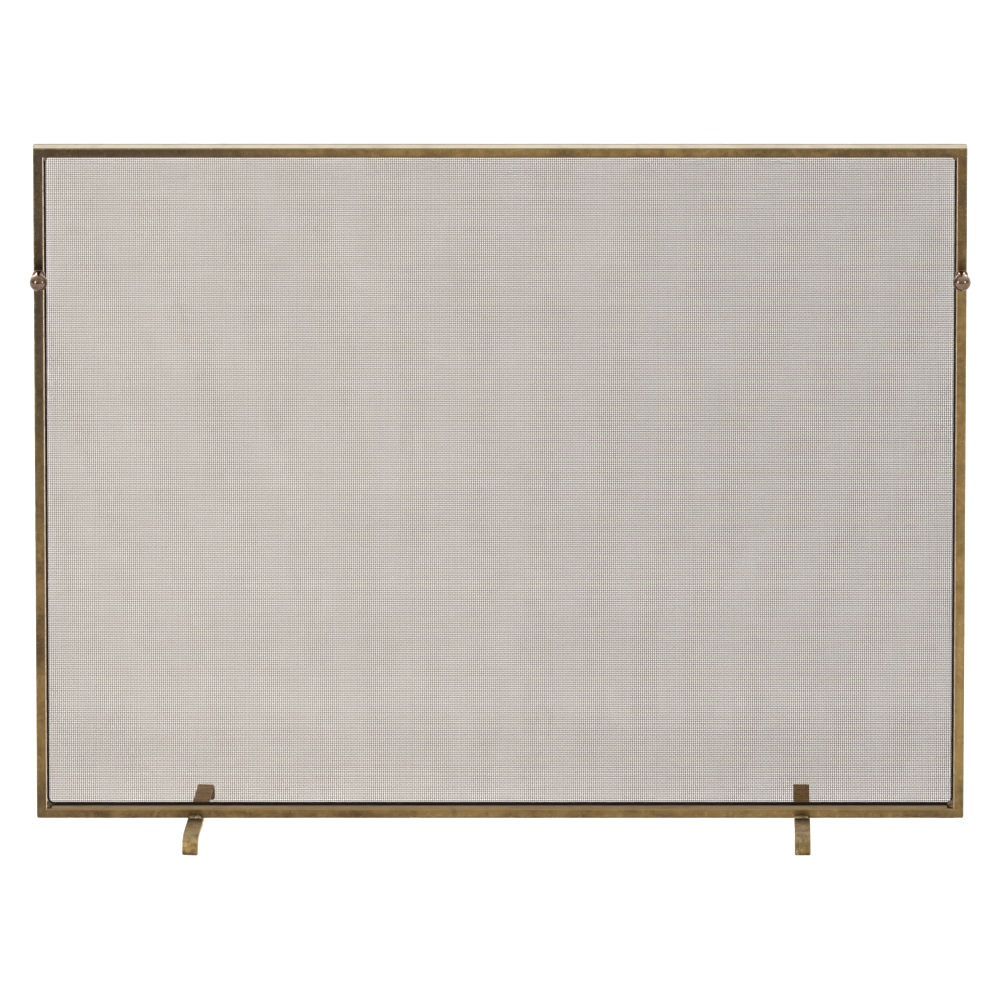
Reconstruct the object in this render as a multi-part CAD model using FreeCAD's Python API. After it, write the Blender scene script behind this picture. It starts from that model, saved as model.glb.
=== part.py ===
import FreeCAD, Part
import math
import os

# A free-standing, single-panel fireplace screen: a welded frame of four square-edged bars, a woven
# wire cloth stretched over a black rod inside the frame, two bent flat-bar feet and two ball knobs.
#
# Millimetres, +Z up.  The origin is on the floor, midway between the tips of the feet and midway
# across the width.  The front of the screen faces -Y, and left is -X.

# ---- frame ----
FRAME_WIDTH = 1000.0
FRAME_HEIGHT = 766.0
FLOOR_CLEARANCE = 20.0        # floor to the underside of the bottom rail
BAR_FACE = 11.0               # bar width as seen from the front
BAR_DEPTH = 16.0
BAR_EDGE_RADIUS = 1.2
FRAME_CORNER_RADIUS = 2.2     # the outer corners are ground round after welding

# ---- feet ----
FOOT_LENGTH = 176.0           # tip to tip
FOOT_WIDTH = 17.0
FOOT_THICKNESS = 5.0
FOOT_BEND_RADIUS = 14.5       # outside of the bend
FOOT_EDGE_RADIUS = 0.9
FOOT_TIP_RADIUS = 1.8
FOOT_SPACING = 652.0          # centre to centre
FRONT_REACH = 60.0            # front tip to the front face of the frame
LEFT_FOOT_SKEW = 5.5          # degrees, the front tip turned outwards
RIGHT_FOOT_SKEW = 0.0

# ---- wire cloth and the rod that carries it ----
ROD_DIAMETER = 2.4
ROD_BEND_RADIUS = 6.0         # centre line of the corner bends
WIRE_DIAMETER = 0.56
CLOTH_THICKNESS = 3.0 * WIRE_DIAMETER   # crimped wires pass over and under straight ones

# ---- knobs ----
KNOB_DROP = 144.0             # top of the frame to the knob's axis
KNOB_BALL_DIAMETER = 19.0
KNOB_PROJECTION = 33.0        # face of the stile to the front of the ball
KNOB_BASE_RADIUS = 5.6
KNOB_NECK_RADIUS = 4.0
COLLAR_DIAMETER = 14.0
COLLAR_THICKNESS = 3.0
COLLAR_EDGE_RADIUS = 1.0
SCREW_DIAMETER = 4.0
SCREW_ENGAGEMENT = 9.0        # length of screw inside the knob
SCREW_HEAD_DIAMETER = 7.0
SCREW_HEAD_HEIGHT = 2.6
SCREW_HEAD_EDGE_RADIUS = 0.8
SCREW_RECESS_LENGTH = 4.2
SCREW_RECESS_WIDTH = 0.9
SCREW_RECESS_DEPTH = 1.3
WASHER_DIAMETER = 9.0
WASHER_THICKNESS = 0.8

# ---- welds ----
CORNER_WELD_LEG = 4.5
CORNER_WELD_SETBACK = 2.5     # from the front face, which is ground flush
FOOT_WELD_HEIGHT = 5.0
FOOT_WELD_REACH = 4.0
FOOT_WELD_INSET = 0.8         # each end of the bead, from the side of the foot
TACK_RADIUS = 3.0
TACK_LENGTH = 8.0
SIDE_TACKS = 4
LONG_TACKS = 6

# ---- clearances of the fits ----
SCREW_HOLE_CLEARANCE = 0.4    # on the diameter, in the stile, the collar and the washer
THREAD_CLEARANCE = 0.1        # on the diameter, in the knob
HOLE_END_CLEARANCE = 1.0      # beyond the screw's end

# ---- places that follow from them ----
FRAME_BOTTOM = FLOOR_CLEARANCE
FRAME_TOP = FRAME_BOTTOM + FRAME_HEIGHT
FRAME_FRONT = FRONT_REACH - FOOT_LENGTH / 2.0
FRAME_BACK = FRAME_FRONT + BAR_DEPTH
OPENING_HALF = FRAME_WIDTH / 2.0 - BAR_FACE
OPENING_BOTTOM = FRAME_BOTTOM + BAR_FACE
OPENING_TOP = FRAME_TOP - BAR_FACE
OPENING_HEIGHT = OPENING_TOP - OPENING_BOTTOM
ROD_RADIUS = ROD_DIAMETER / 2.0
ROD_Y = FRAME_BACK - ROD_RADIUS
KNOB_X = FRAME_WIDTH / 2.0 - BAR_FACE / 2.0
KNOB_Z = FRAME_TOP - KNOB_DROP
KNOB_SEAT = FRAME_FRONT - COLLAR_THICKNESS
SCREW_HOLE_DIAMETER = SCREW_DIAMETER + SCREW_HOLE_CLEARANCE
SCREW_TIP = KNOB_SEAT - SCREW_ENGAGEMENT
SCREW_SEAT = FRAME_BACK + WASHER_THICKNESS

X_AXIS = FreeCAD.Vector(1, 0, 0)
Y_AXIS = FreeCAD.Vector(0, 1, 0)
Z_AXIS = FreeCAD.Vector(0, 0, 1)
SIDES = {"left": -1, "right": 1}


def vec(x, y, z):
    return FreeCAD.Vector(x, y, z)


def box(low, high):
    """A box between two opposite corners."""
    size = [b - a for a, b in zip(low, high)]
    return Part.makeBox(size[0], size[1], size[2], vec(*low))


def prism(points, travel):
    """A closed outline of straight lines, pushed along a vector."""
    outline = Part.makePolygon([vec(*p) for p in points + points[:1]])
    return Part.Face(outline).extrude(travel)


def y_cylinder(diameter, x, z, y_from, y_to):
    """A round bar or bore along Y."""
    return Part.makeCylinder(diameter / 2.0, y_to - y_from, vec(x, y_from, z), Y_AXIS)


def edges_where(shape, test):
    return [edge for edge in shape.Edges if test(edge.BoundBox)]


def swept(section, path):
    """A section swept along a path of tangent lines and arcs."""
    return path.makePipeShell([section], True, True)


def mirrored(shape, side):
    """The shape as drawn for the right side, or its mirror image for the left."""
    if SIDES[side] > 0:
        return shape
    return shape.mirror(vec(0, 0, 0), X_AXIS)


# ---- the frame: one ring, cut at the mitres into two rails and two stiles ----
def frame_ring():
    half = FRAME_WIDTH / 2.0
    outer = box((-half, FRAME_FRONT, FRAME_BOTTOM), (half, FRAME_BACK, FRAME_TOP))
    outer = outer.makeFillet(FRAME_CORNER_RADIUS, edges_where(outer, lambda b: b.YLength > 1.0))
    opening = box((-OPENING_HALF, FRAME_FRONT, OPENING_BOTTOM),
                  (OPENING_HALF, FRAME_BACK, OPENING_TOP))
    ring = outer.cut(opening)
    return ring.makeFillet(BAR_EDGE_RADIUS, edges_where(ring, lambda b: b.YLength < 0.01))


def mitre_wedge(long_side):
    """The region in front view that holds one bar: 'top', 'bottom', 'left' or 'right'."""
    half = FRAME_WIDTH / 2.0
    corners = {
        "bottom_left": (-half, FRAME_BOTTOM, 1, 1),
        "bottom_right": (half, FRAME_BOTTOM, -1, 1),
        "top_right": (half, FRAME_TOP, -1, -1),
        "top_left": (-half, FRAME_TOP, 1, -1),
    }
    ends = {
        "bottom": ("bottom_left", "bottom_right"),
        "right": ("bottom_right", "top_right"),
        "top": ("top_right", "top_left"),
        "left": ("top_left", "bottom_left"),
    }
    first, second = [corners[name] for name in ends[long_side]]
    outline = []
    for x, z, inward_x, inward_z in (first, second):
        outline.append((x, FRAME_FRONT, z))
    for x, z, inward_x, inward_z in (second, first):
        reach = 2.0 * BAR_FACE
        outline.append((x + reach * inward_x, FRAME_FRONT, z + reach * inward_z))
    return prism(outline, vec(0, BAR_DEPTH, 0))


def knob_hole(side):
    return y_cylinder(SCREW_HOLE_DIAMETER, SIDES[side] * KNOB_X, KNOB_Z, FRAME_FRONT, FRAME_BACK)


def frame_bars():
    ring = frame_ring()
    bars = {
        "top_rail": ring.common(mitre_wedge("top")),
        "bottom_rail": ring.common(mitre_wedge("bottom")),
    }
    for side in SIDES:
        bars[side + "_stile"] = ring.common(mitre_wedge(side)).cut(knob_hole(side))
    return bars


# ---- feet: a flat bar bent down at both ends, crossing under the bottom rail ----
def foot_profile(reach, top, bend):
    """Side outline of the bent bar's outer or inner face, from the front tip to the back tip."""
    knee = bend * (1.0 - 2.0 ** -0.5)
    front_arc = Part.Arc(vec(0, -reach, top - bend), vec(0, -reach + knee, top - knee),
                         vec(0, -reach + bend, top))
    back_arc = Part.Arc(vec(0, reach - bend, top), vec(0, reach - knee, top - knee),
                        vec(0, reach, top - bend))
    return [
        Part.makeLine(vec(0, -reach, 0), vec(0, -reach, top - bend)),
        front_arc.toShape(),
        Part.makeLine(vec(0, -reach + bend, top), vec(0, reach - bend, top)),
        back_arc.toShape(),
        Part.makeLine(vec(0, reach, top - bend), vec(0, reach, 0)),
    ]


def foot(side):
    half = FOOT_LENGTH / 2.0
    inner_half = half - FOOT_THICKNESS
    outer = foot_profile(half, FRAME_BOTTOM, FOOT_BEND_RADIUS)
    inner = foot_profile(inner_half, FRAME_BOTTOM - FOOT_THICKNESS,
                         FOOT_BEND_RADIUS - FOOT_THICKNESS)
    ends = [Part.makeLine(vec(0, -half, 0), vec(0, -inner_half, 0)),
            Part.makeLine(vec(0, half, 0), vec(0, inner_half, 0))]
    outline = Part.Wire(Part.__sortEdges__(outer + inner + ends))
    bar = Part.Face(outline).extrude(vec(FOOT_WIDTH, 0, 0))
    bar.translate(vec(-FOOT_WIDTH / 2.0, 0, 0))
    long_edges = edges_where(bar, lambda b: b.XLength < 0.01 and b.ZMax > 0.01)
    bar = bar.makeFillet(FOOT_EDGE_RADIUS, long_edges)
    envelope = box((-FOOT_WIDTH / 2.0, -FOOT_LENGTH, 0.0),
                   (FOOT_WIDTH / 2.0, FOOT_LENGTH, FRAME_BOTTOM + 1.0))
    lower_edges = edges_where(envelope, lambda b: b.YLength > 1.0 and b.ZMax < 0.01)
    bar = bar.common(envelope.makeFillet(FOOT_TIP_RADIUS, lower_edges))
    outward_skew = LEFT_FOOT_SKEW if side == "left" else RIGHT_FOOT_SKEW
    bar.rotate(vec(0, 0, 0), Z_AXIS, SIDES[side] * outward_skew)
    bar.translate(vec(SIDES[side] * FOOT_SPACING / 2.0, 0, 0))
    return bar


def foot_welds(side):
    """The two beads along the top of the foot, before and behind the bottom rail."""
    skew = math.radians(LEFT_FOOT_SKEW if side == "left" else RIGHT_FOOT_SKEW)
    half = FOOT_WIDTH / 2.0 - FOOT_WELD_INSET
    beads = []
    for face_y, outward in ((FRAME_FRONT, -1), (FRAME_BACK, 1)):
        # a skewed foot crosses the face of the rail a little to one side of its own middle
        x = SIDES[side] * (FOOT_SPACING / 2.0 - face_y * math.tan(skew))
        crest = vec(x - half, face_y, FRAME_BOTTOM + FOOT_WELD_HEIGHT)
        toe = vec(x - half, face_y + outward * FOOT_WELD_REACH, FRAME_BOTTOM)
        root = vec(x - half, face_y, FRAME_BOTTOM)
        belly = vec(x - half, face_y + outward * FOOT_WELD_REACH * 0.66,
                    FRAME_BOTTOM + FOOT_WELD_HEIGHT * 0.66)
        outline = Part.Wire([
            Part.makeLine(root, crest),
            Part.Arc(crest, belly, toe).toShape(),
            Part.makeLine(toe, root),
        ])
        beads.append(Part.Face(outline).extrude(vec(2.0 * half, 0, 0)))
    footprint = foot(side).BoundBox
    reach = box((footprint.XMin, footprint.YMin, FRAME_BOTTOM),
                (footprint.XMax, footprint.YMax, FRAME_BOTTOM + FOOT_WELD_HEIGHT))
    return Part.makeCompound([bead.common(reach) for bead in beads])


# ---- the black rod round the inside of the frame, in four lengths ----
def rod_corner(side, up):
    """Centre of the rod at a corner of the opening, and the start of the straight lengths."""
    x = SIDES[side] * (OPENING_HALF - ROD_RADIUS)
    z = OPENING_TOP - ROD_RADIUS if up > 0 else OPENING_BOTTOM + ROD_RADIUS
    return x, z


def rod_section(centre, normal):
    circle = Part.Circle(centre, normal, ROD_RADIUS)
    return Part.Wire([circle.toShape()])


def side_rod(side):
    """The upright length, with a quarter bend at each end."""
    x, z_low = rod_corner("right", -1)
    z_high = rod_corner("right", 1)[1]
    bend = ROD_BEND_RADIUS
    knee = bend * (1.0 - 2.0 ** -0.5)
    low_arc = Part.Arc(vec(x - bend, ROD_Y, z_low), vec(x - knee, ROD_Y, z_low + knee),
                       vec(x, ROD_Y, z_low + bend))
    high_arc = Part.Arc(vec(x, ROD_Y, z_high - bend), vec(x - knee, ROD_Y, z_high - knee),
                        vec(x - bend, ROD_Y, z_high))
    path = Part.Wire([
        low_arc.toShape(),
        Part.makeLine(vec(x, ROD_Y, z_low + bend), vec(x, ROD_Y, z_high - bend)),
        high_arc.toShape(),
    ])
    rod = swept(rod_section(vec(x - bend, ROD_Y, z_low), X_AXIS), path)
    return mirrored(rod, side)


def long_rod(up):
    """The straight length along the top or the bottom."""
    x_corner, z = rod_corner("right", up)
    half = x_corner - ROD_BEND_RADIUS
    return Part.makeCylinder(ROD_RADIUS, 2.0 * half, vec(-half, ROD_Y, z), X_AXIS)


def wire_cloth():
    """A plain sheet in the space that the woven cloth fills, lying on the back of the rod."""
    sheet = box((-OPENING_HALF, FRAME_BACK, OPENING_BOTTOM),
                (OPENING_HALF, FRAME_BACK + CLOTH_THICKNESS, OPENING_TOP))
    corners = edges_where(sheet, lambda b: b.YLength > CLOTH_THICKNESS / 2.0)
    return sheet.makeFillet(ROD_BEND_RADIUS + ROD_RADIUS, corners)


# ---- welds of the frame and the cloth ----
def corner_welds():
    """A rounded bead down the depth of each inner corner, from near the front to the rod."""
    y_from = FRAME_FRONT + CORNER_WELD_SETBACK
    y_to = FRAME_BACK - ROD_DIAMETER
    opening = box((-OPENING_HALF, y_from, OPENING_BOTTOM), (OPENING_HALF, y_to, OPENING_TOP))
    beads = []
    for side in SIDES:
        for z in (OPENING_BOTTOM, OPENING_TOP):
            x = SIDES[side] * OPENING_HALF
            bead = y_cylinder(2.0 * CORNER_WELD_LEG, x, z, y_from, y_to)
            beads.append(bead.common(opening))
    return Part.makeCompound(beads)


def tack(x, z, along, outward):
    """A quarter-round tack on the back of a bar, against the cut edge of the cloth."""
    start = vec(x, FRAME_BACK, z) - along * (TACK_LENGTH / 2.0)
    bead = Part.makeCylinder(TACK_RADIUS, TACK_LENGTH, start, along)
    far = outward * TACK_RADIUS
    corner_a = start
    corner_b = start + along * TACK_LENGTH + far + vec(0, TACK_RADIUS, 0)
    low = [min(corner_a[i], corner_b[i]) for i in range(3)]
    high = [max(corner_a[i], corner_b[i]) for i in range(3)]
    return bead.common(box(low, high))


def cloth_tacks():
    beads = []
    for side in SIDES:
        for i in range(SIDE_TACKS):
            z = OPENING_BOTTOM + OPENING_HEIGHT * (i + 0.5) / SIDE_TACKS
            beads.append(tack(SIDES[side] * OPENING_HALF, z, Z_AXIS, X_AXIS * SIDES[side]))
    for z, up in ((OPENING_BOTTOM, -1), (OPENING_TOP, 1)):
        for i in range(LONG_TACKS):
            x = OPENING_HALF * (2.0 * (i + 0.5) / LONG_TACKS - 1.0)
            beads.append(tack(x, z, X_AXIS, Z_AXIS * up))
    return Part.makeCompound(beads)


# ---- knobs, each held by a screw through the stile ----
def turned(outline):
    """A closed half outline in the XY plane, turned about the Y axis."""
    return Part.Face(outline).revolve(vec(0, 0, 0), Y_AXIS, 360)


def placed(shape, side):
    shape.translate(vec(SIDES[side] * KNOB_X, 0, KNOB_Z))
    return shape


def knob(side):
    radius = KNOB_BALL_DIAMETER / 2.0
    centre = FRAME_FRONT - KNOB_PROJECTION + radius
    nose = centre - radius
    joint = centre + (radius ** 2 - KNOB_NECK_RADIUS ** 2) ** 0.5
    waist = KNOB_NECK_RADIUS + (KNOB_BASE_RADIUS - KNOB_NECK_RADIUS) * 0.3
    base = vec(KNOB_BASE_RADIUS, KNOB_SEAT, 0)
    flare = Part.Arc(base, vec(waist, (KNOB_SEAT + joint) / 2.0, 0),
                     vec(KNOB_NECK_RADIUS, joint, 0))
    ball = Part.Arc(vec(KNOB_NECK_RADIUS, joint, 0), vec(radius, centre, 0), vec(0, nose, 0))
    outline = Part.Wire([
        Part.makeLine(vec(0, KNOB_SEAT, 0), base),
        flare.toShape(),
        ball.toShape(),
        Part.makeLine(vec(0, nose, 0), vec(0, KNOB_SEAT, 0)),
    ])
    bore = y_cylinder(SCREW_DIAMETER + THREAD_CLEARANCE, 0, 0,
                      SCREW_TIP - HOLE_END_CLEARANCE, KNOB_SEAT)
    return placed(turned(outline).cut(bore), side)


def knob_collar(side):
    disc = y_cylinder(COLLAR_DIAMETER, 0, 0, KNOB_SEAT, FRAME_FRONT)
    front_edge = edges_where(disc, lambda b: b.YLength < 0.01 and b.YMax < FRAME_FRONT - 0.1)
    disc = disc.makeFillet(COLLAR_EDGE_RADIUS, front_edge)
    hole = y_cylinder(SCREW_HOLE_DIAMETER, 0, 0, KNOB_SEAT, FRAME_FRONT)
    return placed(disc.cut(hole), side)


def knob_washer(side):
    disc = y_cylinder(WASHER_DIAMETER, 0, 0, FRAME_BACK, SCREW_SEAT)
    hole = y_cylinder(SCREW_HOLE_DIAMETER, 0, 0, FRAME_BACK, SCREW_SEAT)
    return placed(disc.cut(hole), side)


def knob_screw(side):
    head_end = SCREW_SEAT + SCREW_HEAD_HEIGHT
    head = y_cylinder(SCREW_HEAD_DIAMETER, 0, 0, SCREW_SEAT, head_end)
    rim = edges_where(head, lambda b: b.YLength < 0.01 and b.YMin > head_end - 0.1)
    head = head.makeFillet(SCREW_HEAD_EDGE_RADIUS, rim)
    shank = y_cylinder(SCREW_DIAMETER, 0, 0, SCREW_TIP, SCREW_SEAT)
    screw = head.fuse(shank)
    long_half = SCREW_RECESS_LENGTH / 2.0
    short_half = SCREW_RECESS_WIDTH / 2.0
    for half_x, half_z in ((long_half, short_half), (short_half, long_half)):
        screw = screw.cut(box((-half_x, head_end - SCREW_RECESS_DEPTH, -half_z),
                              (half_x, head_end, half_z)))
    return placed(screw.removeSplitter(), side)


def all_nodes():
    nodes = frame_bars()
    nodes["corner_welds"] = corner_welds()
    nodes["mesh_cloth"] = wire_cloth()
    nodes["top_rod"] = long_rod(1)
    nodes["bottom_rod"] = long_rod(-1)
    nodes["cloth_tacks"] = cloth_tacks()
    for side in SIDES:
        nodes[side + "_rod"] = side_rod(side)
        nodes[side + "_foot"] = foot(side)
        nodes[side + "_foot_welds"] = foot_welds(side)
        nodes[side + "_knob"] = knob(side)
        nodes[side + "_knob_collar"] = knob_collar(side)
        nodes[side + "_knob_screw"] = knob_screw(side)
        nodes[side + "_knob_washer"] = knob_washer(side)
    return nodes


os.makedirs("parts", exist_ok=True)
for name, shape in all_nodes().items():
    shape.exportStep("parts/" + name + ".step")
    size = shape.optimalBoundingBox(False)
    print("%-20s solids %2d  volume %10.1f  valid %s  x %.1f..%.1f  y %.1f..%.1f  z %.1f..%.1f" % (
        name, len(shape.Solids), shape.Volume, shape.isValid(),
        size.XMin, size.XMax, size.YMin, size.YMax, size.ZMin, size.ZMax))
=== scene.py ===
import bpy
import math
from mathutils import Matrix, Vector


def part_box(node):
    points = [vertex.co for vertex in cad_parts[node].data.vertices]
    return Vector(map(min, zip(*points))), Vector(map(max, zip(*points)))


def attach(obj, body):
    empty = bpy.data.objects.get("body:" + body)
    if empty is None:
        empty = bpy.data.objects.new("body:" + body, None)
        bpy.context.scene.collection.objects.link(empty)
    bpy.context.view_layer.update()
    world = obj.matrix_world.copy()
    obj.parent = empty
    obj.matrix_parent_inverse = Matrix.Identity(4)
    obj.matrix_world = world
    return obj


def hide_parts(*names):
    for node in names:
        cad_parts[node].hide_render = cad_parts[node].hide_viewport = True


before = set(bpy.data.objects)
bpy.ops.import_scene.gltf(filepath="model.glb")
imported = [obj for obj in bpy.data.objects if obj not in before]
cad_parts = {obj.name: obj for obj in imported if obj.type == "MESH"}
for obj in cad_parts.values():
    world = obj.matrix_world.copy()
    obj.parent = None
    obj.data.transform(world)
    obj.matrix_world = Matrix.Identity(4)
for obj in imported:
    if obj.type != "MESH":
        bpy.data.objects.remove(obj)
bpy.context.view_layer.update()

# The screen stands on the floor at z = 0 and faces -Y.  Lengths are metres, colours linear RGB.

# ---- woven cloth: crimped level wires pass before and behind straight upright wires ----
WIRE_DIAMETER = 0.00056
WIRE_PITCH = 0.002117
WEFT_BANDS = 6                # the level wires are made in this many pieces
WARP_BENDS = 24               # points along an upright wire, where the drift may bend it
WARP_SIDES = 6
WEFT_SIDES = 3
WIRE_DRIFT = 0.00035          # how far the weave wanders from a perfect grid
DRIFT_PATCH = 0.14            # size of the patches that wander together
WIRE_JITTER = 0.00008         # how far one wire sits off its place

# ---- frame ----
BAR_FACE = 0.011

# ---- weld beads: the radius of each kind, and how they are spread ----
CORNER_BEAD = 0.0045
THICK_CORNER_BEAD = 0.0062
FOOT_BEAD = 0.0046
BEAD_INSET = 0.0008           # each end of a foot's bead, from the side of the foot
BEAD_RINGS = 30
BEAD_SIDES = 14
TACK_LENGTH = 0.008
TACK_OVERLAP = 0.001          # how far a tack laps over the edge of the cloth
SIDE_TACKS = 4
LONG_TACKS = 6
FAR = 1.0                     # a limit that lies beyond every bead

# ---- camera ----
VIEW_DISTANCE = 30.0
VIEW_ELEVATION = math.radians(20.0)
SENSOR_WIDTH = 36.0
VIEW_SPAN = 1.0749            # width of what the camera takes in at the screen
AIM_ABOVE_FLOOR = 0.3856
AIM_SIDEWAYS = -0.0002

# ---- light, as brightness where 1 is paper white ----
FLOOR_GLOW = 1.16             # the floor in the open, lit by the front light
FLOOR_COLOUR = 0.92
FLOOR_REACH = 45.0            # from the middle of the floor to its edge
FRONT_LIGHT_SPREAD = 0.65     # degrees across, as seen from the screen
FLOOR_FILL = 0.015            # what the room adds to the floor
ROOM_GLOW = 0.45              # what metal mirrors from all round
SKY_GLOW = 0.5                # what it mirrors besides from above
REAR_GLOW = 1.5               # and from the rear

# ---- brass on the bars ----
BAR_METAL = (0.225, 0.150, 0.060, 1)
BAR_TARNISH = (0.105, 0.070, 0.034, 1)
BAR_STAIN = (0.185, 0.118, 0.045, 1)
BRIGHTENED_GOLD = (0.33, 0.222, 0.088, 1)
DARKENED_BRASS = (0.060, 0.045, 0.031, 1)
INNER_RED = (0.165, 0.085, 0.042, 1)
OLIVE_OUTLINE = (0.21, 0.165, 0.060, 1)
LOWER_EDGE_SHADE = (0.085, 0.056, 0.030, 1)
TOP_RAIL_CREST_HIGHLIGHT = (0.21, 0.165, 0.062, 1)
BOTTOM_RAIL_CREST_HIGHLIGHT = (0.40, 0.29, 0.130, 1)
BRIGHT_SPECK = (0.55, 0.46, 0.28, 1)
TOP_RAIL_UPPER_REFLECTION = (0.310, 0.262, 0.180, 1)
BOTTOM_RAIL_UPPER_REFLECTION = (0.235, 0.154, 0.062, 1)
REAR_LINE = (0.125, 0.098, 0.068, 1)
LEFT_INNER_HIGHLIGHT = (0.92, 0.78, 0.60, 1)
RIGHT_INNER_HIGHLIGHT = (0.72, 0.56, 0.37, 1)
BLOTCH_TINT = (0.55, 0.52, 0.50, 1)
FLECK_TINT = (1.75, 1.65, 1.25, 1)
BROAD_STREAK_TINT = (0.55, 0.50, 0.50, 1)
FINE_STREAK_TINT = (1.45, 1.42, 1.35, 1)
CLOUD_TINT = (0.78, 0.72, 0.58, 1)
WIRE_REFLECTION_TINT = (0.62, 0.58, 0.52, 1)

# ---- brass on the feet ----
FOOT_METAL = (0.42, 0.33, 0.19, 1)
FOOT_TARNISH = (0.215, 0.165, 0.098, 1)
FOOT_STAIN = (0.285, 0.225, 0.135, 1)
FOOT_RIM_TINT = (0.70, 0.56, 0.42, 1.0)
BEND_GOLD = (0.44, 0.31, 0.105, 1)
BEND_BROWN = (0.24, 0.15, 0.062, 1)
BEND_RED = (0.27, 0.125, 0.085, 1)
BEND_PALE = (0.42, 0.36, 0.26, 1)
BRUSHED_GOLD = (0.34, 0.24, 0.085, 1)
BRUSHED_SHADE = (0.115, 0.075, 0.030, 1)
FLOOR_CONTACT_SHADE = (0.07, 0.045, 0.02, 1)
SHADE_BEHIND_FRAME = (0.040, 0.026, 0.018, 1)
NICK = (0.80, 0.68, 0.42, 1)
SIDE_FACE_REFLECTION = (0.78, 0.70, 0.56, 1)

# ---- wire and rod ----
LIT_LEFT_WIRE = (0.375, 0.262, 0.190, 1)
SHADED_RIGHT_WIRE = (0.100, 0.046, 0.020, 1)
DULL_WIRE = (0.14, 0.11, 0.07, 1)
WIRE_RIM_TINT = (0.65, 0.48, 0.30, 1.0)
BLACK_PAINT = (0.005, 0.0035, 0.003, 1)
WORN_PAINT = (0.035, 0.024, 0.016, 1)


# =========================== node helpers ===========================
def add(tree, kind, inputs=None, **settings):
    """Adds a node.  An input is a value or the output socket that feeds it."""
    made = tree.nodes.new(kind)
    for name, value in settings.items():
        setattr(made, name, value)
    for key, value in (inputs or {}).items():
        if isinstance(value, bpy.types.NodeSocket):
            tree.links.new(value, made.inputs[key])
        else:
            made.inputs[key].default_value = value
    return made


def maths(tree, operation, a, b=0.0, clamp=False):
    return add(tree, "ShaderNodeMath", {0: a, 1: b}, operation=operation,
               use_clamp=clamp).outputs[0]


def times(tree, a, b):
    return maths(tree, "MULTIPLY", a, b)


def vector_maths(tree, operation, a, b=(0.0, 0.0, 0.0)):
    return add(tree, "ShaderNodeVectorMath", {0: a, 1: b}, operation=operation).outputs[0]


def scaled_vector(tree, a, scale):
    return add(tree, "ShaderNodeVectorMath", {0: a, "Scale": scale}, operation="SCALE").outputs[0]


def vector(tree, x=0.0, y=0.0, z=0.0):
    return add(tree, "ShaderNodeCombineXYZ", {0: x, 1: y, 2: z}).outputs[0]


def ramp(tree, value, low, high):
    """0 below low, 1 above high, smooth between."""
    return add(tree, "ShaderNodeMapRange", {"Value": value, "From Min": low, "From Max": high},
               interpolation_type="SMOOTHSTEP").outputs[0]


def fade(tree, value, low, high):
    """1 below low, 0 above high, smooth between."""
    return maths(tree, "SUBTRACT", 1.0, ramp(tree, value, low, high))


def spread(tree, value, least, most):
    """A mask from 0 to 1 becomes a value from least to most."""
    return add(tree, "ShaderNodeMapRange", {"Value": value, "To Min": least,
                                            "To Max": most}).outputs[0]


def choose(tree, factor, a, b):
    return add(tree, "ShaderNodeMix", {0: factor, 2: a, 3: b}, data_type="FLOAT").outputs[0]


def mix_colour(tree, factor, a, b, blend="MIX"):
    return add(tree, "ShaderNodeMix", {0: factor, 6: a, 7: b}, data_type="RGBA",
               blend_type=blend).outputs[2]


def tinted(tree, factor, colour, tint):
    """The colour, multiplied by the tint as far as the factor says."""
    return mix_colour(tree, factor, colour, mix_colour(tree, 1.0, colour, tint, "MULTIPLY"))


def noise(tree, place, scale, detail=4.0, roughness=0.55):
    return add(tree, "ShaderNodeTexNoise", {"Vector": place, "Scale": scale, "Detail": detail,
                                            "Roughness": roughness}).outputs["Fac"]


def new_group(name, kind, inputs, outputs):
    """A node group with typed, named sockets.  Returns it with its input and output nodes."""
    group = bpy.data.node_groups.new(name, kind)
    for label, socket, default in inputs:
        made = group.interface.new_socket(label, in_out="INPUT", socket_type=socket)
        if default is not None:
            made.default_value = default
    for label, socket in outputs:
        group.interface.new_socket(label, in_out="OUTPUT", socket_type=socket)
    return group, group.nodes.new("NodeGroupInput"), group.nodes.new("NodeGroupOutput")


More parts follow.
